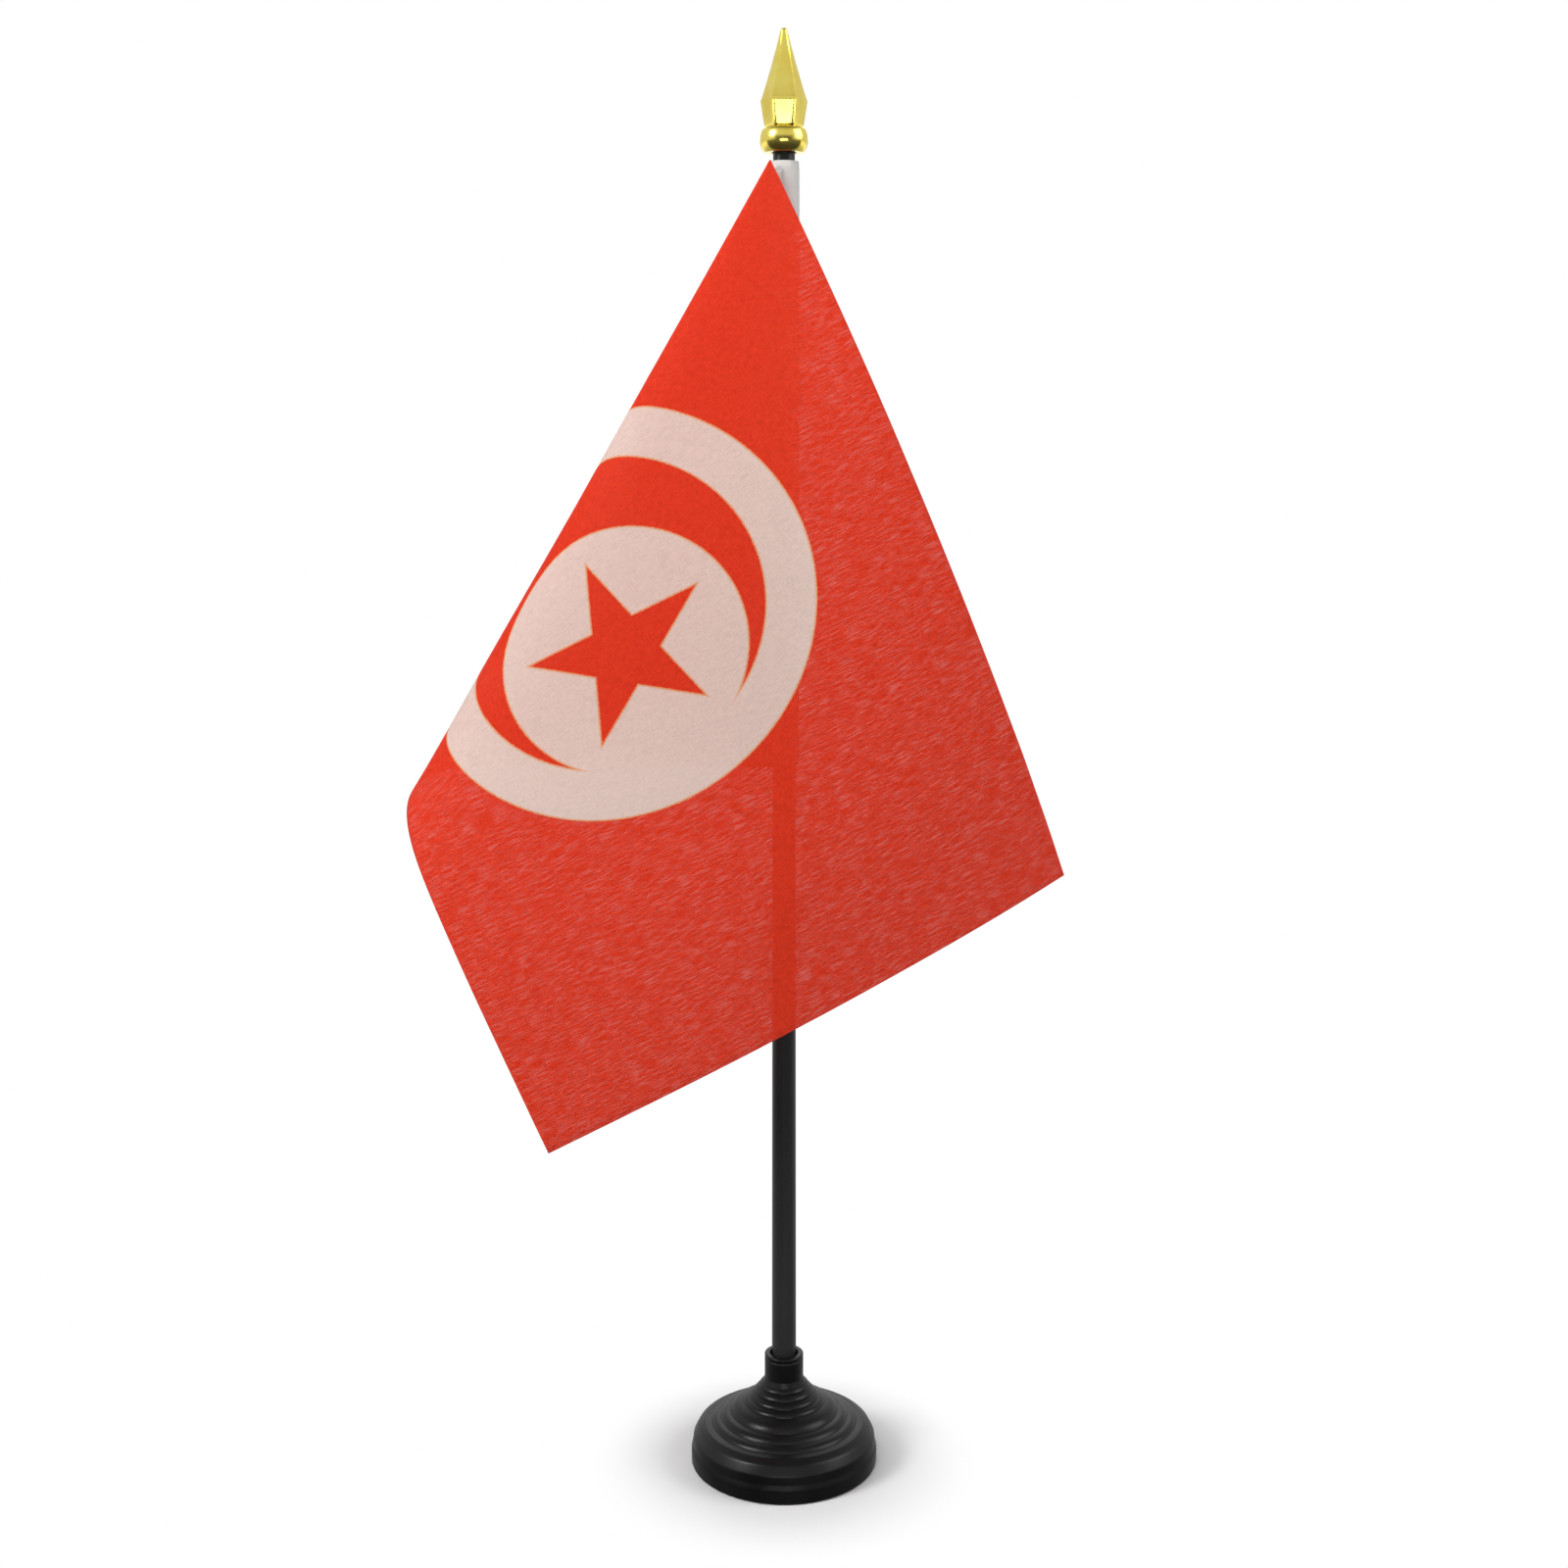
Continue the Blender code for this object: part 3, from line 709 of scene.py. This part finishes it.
def make_spear():
    shape = bmesh.new()
    turns = even_turns(SPEAR_STEPS)
    rings = []
    for height, radius, roundness in spear_profile():
        reaches = [polygon_reach(turn, radius, roundness) for turn in turns]
        rings.append([shape.verts.new(polar(reach, turn, height)) for reach, turn in zip(reaches, turns)])
    rings.append([shape.verts.new((0.0, 0.0, spear_high.z))])
    socket_top = spear_low.z + FINIAL_SOCKET_DEPTH
    mouth = [shape.verts.new(polar(FINIAL_SOCKET_RADIUS, turn, spear_low.z)) for turn in turns]
    floor = [shape.verts.new(polar(FINIAL_SOCKET_RADIUS, turn, socket_top)) for turn in turns]
    rings = [[shape.verts.new((0.0, 0.0, socket_top))], floor, mouth] + rings
    for first, second in zip(rings, rings[1:]):
        bridge(shape, first, second)
    mesh = mesh_from(shape, "spear_finial")
    return finish_piece("spear_finial", mesh, gilt_plating(), "finial", ["finial"])


# Cloth pieces.

def fan_directions():
    """Unit vectors of the straight creases that fan out from the top hoist corner, as in the CAD part."""
    step = (math.pi / 2) / FAN_STEPS
    direction = Vector((0.0, 0.0, -1.0))
    heading = Vector((-math.cos(BACK_HEADING), math.sin(BACK_HEADING), 0.0))
    fan = [direction.copy()]
    for index in range(FAN_STEPS):
        offset = ((index + 0.5) * step - FOLD_FAN_ANGLE) / FOLD_SOFTNESS
        bend = FOLD_TURN / (FOLD_SOFTNESS * math.sqrt(math.pi)) * math.exp(-offset * offset)
        spin = direction.cross(heading) - direction * bend
        turn = spin.length * step
        axis = spin.normalized()
        direction = rotated(direction, axis, turn)
        heading = rotated(heading, axis, turn)
        fan.append(direction.copy())
    return fan


def rotated(vector, axis, angle):
    along = axis * axis.dot(vector) * (1.0 - math.cos(angle))
    return vector * math.cos(angle) + axis.cross(vector) * math.sin(angle) + along


def panel_point(fan, along_fly, down_hoist):
    """Where a point of the flat panel hangs."""
    distance = math.hypot(along_fly, down_hoist)
    share = math.atan2(along_fly, down_hoist) / (math.pi / 2)
    place = min(share * FAN_STEPS, FAN_STEPS - 1e-6)
    lower = int(place)
    direction = fan[lower].lerp(fan[lower + 1], place - lower)
    sag = (distance / SAG_DISTANCE) ** 2
    corner = Vector((HOIST_LEFT, HOIST_FRONT, sleeve_high.z))
    droop = Vector((-SAG_LEFT * share, SAG_BACK * share ** 2, 0.0)) * sag
    return corner + direction * distance + droop


def panel_normal(fan, along_fly, down_hoist):
    """The panel's normal. Where the panel leaves the pole it points backwards, to +Y."""
    here = panel_point(fan, along_fly, down_hoist)
    along = panel_point(fan, along_fly + NEARBY, down_hoist) - here
    down = panel_point(fan, along_fly, down_hoist + NEARBY) - here
    return down.cross(along).normalized()


def panel_reach(fan_angle):
    """Distance from the top hoist corner to the panel's far edge, along one crease."""
    along_fly = math.sin(fan_angle)
    down_hoist = math.cos(fan_angle)
    if along_fly * PANEL_HEIGHT < down_hoist * PANEL_LENGTH:
        return PANEL_HEIGHT / down_hoist
    return PANEL_LENGTH / along_fly


def panel_fan_angles():
    corner = math.atan2(PANEL_LENGTH, PANEL_HEIGHT)
    lower = [corner * step / LOWER_FAN_LINES for step in range(LOWER_FAN_LINES)]
    rest = math.pi / 2 - corner
    return lower + [corner + rest * step / UPPER_FAN_LINES for step in range(UPPER_FAN_LINES + 1)]


def ripple(along_fly, down_hoist):
    """A slight waviness of the hanging cloth, which fades towards the hoist and the top corner."""
    height = 0.0
    for along_length, down_length, noise_slice, share in RIPPLES:
        place = Vector((along_fly / along_length, down_hoist / down_length, noise_slice))
        height += share * noise.noise(place)
    distance = math.hypot(along_fly, down_hoist)
    fade = min(1.0, along_fly / RIPPLE_FADE_ALONG) * min(1.0, distance / RIPPLE_FADE_DISTANCE)
    return fade * RIPPLE_HEIGHT * height


def make_panel(fan):
    rows = []
    places = []
    for angle in panel_fan_angles():
        reach = panel_reach(angle)
        row = []
        row_places = []
        for step in range(CREASE_STEPS + 1):
            distance = PANEL_TIP_CUT + (reach - PANEL_TIP_CUT) * step / CREASE_STEPS
            along = distance * math.sin(angle)
            down = distance * math.cos(angle)
            lift = panel_normal(fan, along, down) * ripple(along, down)
            row.append(panel_point(fan, along, down) + lift)
            row_places.append((along, down))
        rows.append(row)
        places.append(row_places)
    mesh = sheet_mesh("flag_cloth", rows, places)
    piece = finish_piece("flag_cloth", mesh, printed_cloth(), "flag", ["flag_panel"])
    return thicken(piece, CLOTH_THICKNESS)


def make_sleeve():
    """The cloth tube: slightly uneven, with its cut ends turned in a little."""
    middle_radius = sleeve_high.x - CLOTH_THICKNESS
    length = sleeve_high.z - sleeve_low.z
    rows = []
    places = []
    for index in range(SLEEVE_ROWS + 1):
        down = length * index / SLEEVE_ROWS
        from_end = min(down, length - down)
        tuck = SLEEVE_TUCK * math.exp(-(from_end / SLEEVE_TUCK_LENGTH) ** 2)
        row = []
        row_places = []
        for step in range(SLEEVE_STEPS + 1):
            turn = 2 * math.pi * (step % SLEEVE_STEPS) / SLEEVE_STEPS
            around = polar(SLEEVE_WAVES_ROUND, turn, down / SLEEVE_WAVE_LENGTH)
            radius = middle_radius - tuck + SLEEVE_WAVE_HEIGHT * noise.noise(around)
            row.append(polar(radius, turn, sleeve_high.z - down))
            row_places.append((2 * math.pi * middle_radius * step / SLEEVE_STEPS, down))
        rows.append(row)
        places.append(row_places)
    mesh = sheet_mesh("sleeve_tube", rows, places)
    shape = bmesh.new()
    shape.from_mesh(mesh)
    bmesh.ops.remove_doubles(shape, verts=shape.verts, dist=MERGE_DISTANCE)
    shape.to_mesh(mesh)
    shape.free()
    cloth = white_cloth("sleeve_cloth")
    piece = finish_piece("sleeve_tube", mesh, cloth, "sleeve", ["sleeve"])
    return thicken(piece, CLOTH_THICKNESS)


def tape_width_at(down):
    """The tape is cut at a slant at its top, where the panel folds over."""
    return min(TAPE_WIDTH, TAPE_SLANT * (down - TAPE_SLANT_START))


def tape_curve(fan, down, side):
    """The tape's path at one height, from the sleeve on to one face of the panel. side is 1 at the back."""
    sleeve_turn = TAPE_BACK_TURN if side > 0 else TAPE_FRONT_TURN
    radius = sleeve_high.x + TAPE_THICKNESS
    offset = side * (CLOTH_THICKNESS + TAPE_THICKNESS) / 2 * TAPE_SEAT
    width = tape_width_at(down)

    def on_panel(along):
        return panel_point(fan, along, down) + panel_normal(fan, along, down) * offset

    outer = on_panel(width)
    join = on_panel(TAPE_JOIN_SHARE * width)
    start = polar(radius, sleeve_turn, sleeve_high.z - down)
    leave = Vector((math.sin(sleeve_turn), -math.cos(sleeve_turn), 0.0)) * -side
    pull = (join - start).length * 0.5
    towards = (join - outer).normalized() * pull
    points = []
    for index in range(TAPE_STEPS + 1):
        share = index / TAPE_STEPS / TAPE_BRIDGE_SHARE
        if share > 1.0:
            points.append(join.lerp(outer, (share - 1.0) / (1.0 / TAPE_BRIDGE_SHARE - 1.0)))
            continue
        rest = 1.0 - share
        bend = start * rest ** 3 + (start + leave * pull) * 3 * rest ** 2 * share
        points.append(bend + (join + towards) * 3 * rest * share ** 2 + join * share ** 3)
    return points


def make_tape(fan, side, name):
    rows = []
    places = []
    length = sleeve_high.z - sleeve_low.z
    for index in range(TAPE_ROWS + 1):
        down = TAPE_TOP + (length - TAPE_TOP) * index / TAPE_ROWS
        row = tape_curve(fan, down, side)
        rows.append(row)
        places.append([(TAPE_WEAVE_WIDTH * column / TAPE_STEPS, down) for column in range(TAPE_STEPS + 1)])
    mesh = sheet_mesh(name, rows, places)
    cloth = white_cloth(name + "_cloth")
    piece = finish_piece(name, mesh, cloth, "flag", ["seam_strip"])
    return thicken(piece, TAPE_THICKNESS)


def make_stitches(fan):
    """Stitches down both faces of the seam: each is a short thread that bows off the cloth."""
    shape = bmesh.new()
    length = sleeve_high.z - sleeve_low.z
    count = int((length - STITCH_MARGIN) / STITCH_PITCH)
    for side in (1, -1):
        for index in range(count):
            top = STITCH_TOP + STITCH_PITCH * index + (0.5 * STITCH_PITCH if side < 0 else 0.0)
            add_stitch(shape, fan, top, side)
    mesh = mesh_from(shape, "seam_stitches")
    return finish_piece("seam_stitches", mesh, sewing_thread(), "flag", ["seam_thread"])


def add_stitch(shape, fan, top, side):
    rings = []
    base = CLOTH_THICKNESS / 2 + TAPE_THICKNESS * TAPE_SEAT
    for step in range(STITCH_RINGS):
        share = step / (STITCH_RINGS - 1)
        down = top + STITCH_LENGTH * share
        bow = math.sin(math.pi * share)
        normal = panel_normal(fan, STITCH_ALONG, down) * side
        on_panel = panel_point(fan, STITCH_ALONG, down)
        centre = on_panel + normal * (base + STITCH_RADIUS * (STITCH_BOW * bow - STITCH_SINK))
        across = (panel_point(fan, STITCH_ALONG + NEARBY, down) - on_panel).normalized()
        radius = STITCH_RADIUS * (STITCH_END + (1.0 - STITCH_END) * bow)
        ring = []
        for corner in even_turns(STITCH_CORNERS):
            spoke = across * math.cos(corner) + normal * math.sin(corner)
            ring.append(shape.verts.new(centre + spoke * radius))
        rings.append(ring)
    for first, second in zip(rings, rings[1:]):
        bridge(shape, first, second)
    shape.faces.new(rings[0])
    shape.faces.new(rings[-1])


def dress_hidden_nodes():
    """The ballast ring and the bottom cover keep their CAD meshes and get their materials."""
    finishes = {
        "ballast_ring": zinc_plated_steel(),
        "bottom_cover": moulded_plastic("cover_plastic", (0.012, 0.012, 0.013), roughness=0.52, grain=3200.0),
    }
    for name, material in finishes.items():
        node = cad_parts[name]
        node.data.materials.clear()
        node.data.materials.append(material)


# Studio.

def add_light(name, place, aim, size, power):
    light = bpy.data.lights.new(name, "AREA")
    light.shape = "RECTANGLE"
    light.size, light.size_y = size[0] * MM, size[1] * MM
    light.energy = power
    lamp = bpy.data.objects.new(name, light)
    lamp.location = Vector(place) * MM
    lamp.rotation_euler = (Vector(aim) - Vector(place)).to_track_quat("-Z", "Y").to_euler()
    bpy.context.scene.collection.objects.link(lamp)
    return lamp


def light_studio():
    middle = (0.0, 0.0, 140.0)
    add_light("key_left", (-640.0, -360.0, 560.0), middle, (300.0, 300.0), 4.4)
    add_light("fill_right", (720.0, -160.0, 520.0), middle, (520.0, 520.0), 3.0)
    add_light("low_front", (0.0, -700.0, 130.0), (0.0, 0.0, 240.0), (420.0, 64.0), 0.58)
    add_light("back", (0.0, 700.0, 500.0), middle, (600.0, 400.0), 0.7)
    upper = add_light("upper_left", (-80.0, -150.0, 390.0), (0.0, 0.0, 205.0), (200.0, 120.0), 0.26)
    upper.visible_glossy = False
    upper.visible_camera = False


def white_world():
    """White to the camera, and a dim grey as light. The sky that gets mirrored is brighter than that, but
    darker overhead and low in front."""
    world = bpy.data.worlds.new("studio")
    bpy.context.scene.world = world
    nodes = Nodes(world, "ShaderNodeOutputWorld")

    def white(strength):
        return nodes.add("Background", {"Color": WHITE, "Strength": strength}).outputs[0]

    place = nodes.add("TexCoord").outputs["Generated"]
    axes = nodes.add("SeparateXYZ", {0: place}).outputs
    sky = nodes.ramp(axes["Z"], *REFLECTED_SKY)
    sideways = nodes.ramp(axes["Y"], *REFLECTED_FRONT)
    upwards = nodes.ramp(axes["Z"], *REFLECTED_FRONT_HEIGHT)
    mirrored = white(nodes.math("MULTIPLY", sky, nodes.math("MAXIMUM", sideways, upwards)))
    path = nodes.add("LightPath").outputs
    felt = nodes.add("MixShader", {0: path["Is Glossy Ray"], 1: white(WORLD_LIGHT), 2: mirrored}).outputs[0]
    shown = nodes.add("MixShader", {0: path["Is Camera Ray"], 1: felt, 2: white(1.0)}).outputs[0]
    nodes.show(shown)


def make_floor():
    """A pale floor that keeps a soft shadow near the foot and turns white to the camera away from it."""
    half = FLOOR_HALF_SIZE * MM
    mesh = bpy.data.meshes.new("studio_floor")
    corners = [(-half, -half, 0.0), (half, -half, 0.0), (half, half, 0.0), (-half, half, 0.0)]
    mesh.from_pydata(corners, [], [(0, 1, 2, 3)])
    floor = bpy.data.objects.new("studio_floor", mesh)
    floor.location.z = -FLOOR_DROP * MM
    bpy.context.scene.collection.objects.link(floor)
    mesh.materials.append(floor_paper())


def floor_paper():
    shader = Shader("pale_floor")
    place = shader.object_place()
    away = shader.add("VectorMath", {0: place}, operation="LENGTH").outputs["Value"]
    path = shader.add("LightPath").outputs
    paper = shader.add("BsdfDiffuse", {"Color": FLOOR_PAPER}).outputs[0]
    glow = shader.add("Emission", {"Color": WHITE}).outputs[0]
    factor = shader.math("MULTIPLY", shader.ramp(away, *FLOOR_FADE), path["Is Camera Ray"])
    matt = shader.add("MixShader", {0: factor, 1: paper, 2: glow}).outputs[0]
    # To glossy rays the floor glows instead: a painted reflection, dimmer near the stand and in front of it.
    depth = shader.add("SeparateXYZ", {0: place}).outputs[1]
    front = shader.ramp(depth, *REFLECTED_FLOOR_FRONT)
    strength = shader.math("MULTIPLY", shader.ramp(away, *REFLECTED_FLOOR), front)
    mirrored = shader.add("Emission", {"Color": WHITE, "Strength": strength}).outputs[0]
    shown = shader.add("MixShader", {0: path["Is Glossy Ray"], 1: matt, 2: mirrored}).outputs[0]
    return shader.show(shown)


def place_camera():
    data = bpy.data.cameras.new("camera")
    data.lens = CAMERA_LENS
    data.clip_start = CAMERA_CLIP[0]
    data.clip_end = CAMERA_CLIP[1]
    camera = bpy.data.objects.new("camera", data)
    camera.location = Vector((0.0, -CAMERA_DISTANCE, CAMERA_HEIGHT)) * MM
    camera.rotation_euler = (math.pi / 2 - CAMERA_PITCH, 0.0, 0.0)
    bpy.context.scene.collection.objects.link(camera)
    bpy.context.scene.camera = camera
    bpy.context.scene.view_settings.view_transform = "Standard"


fan = fan_directions()
make_foot()
make_pole()
make_spear()
make_sleeve()
make_panel(fan)
make_tape(fan, 1, "seam_tape_back")
make_tape(fan, -1, "seam_tape_front")
make_stitches(fan)
dress_hidden_nodes()
light_studio()
white_world()
make_floor()
place_camera()
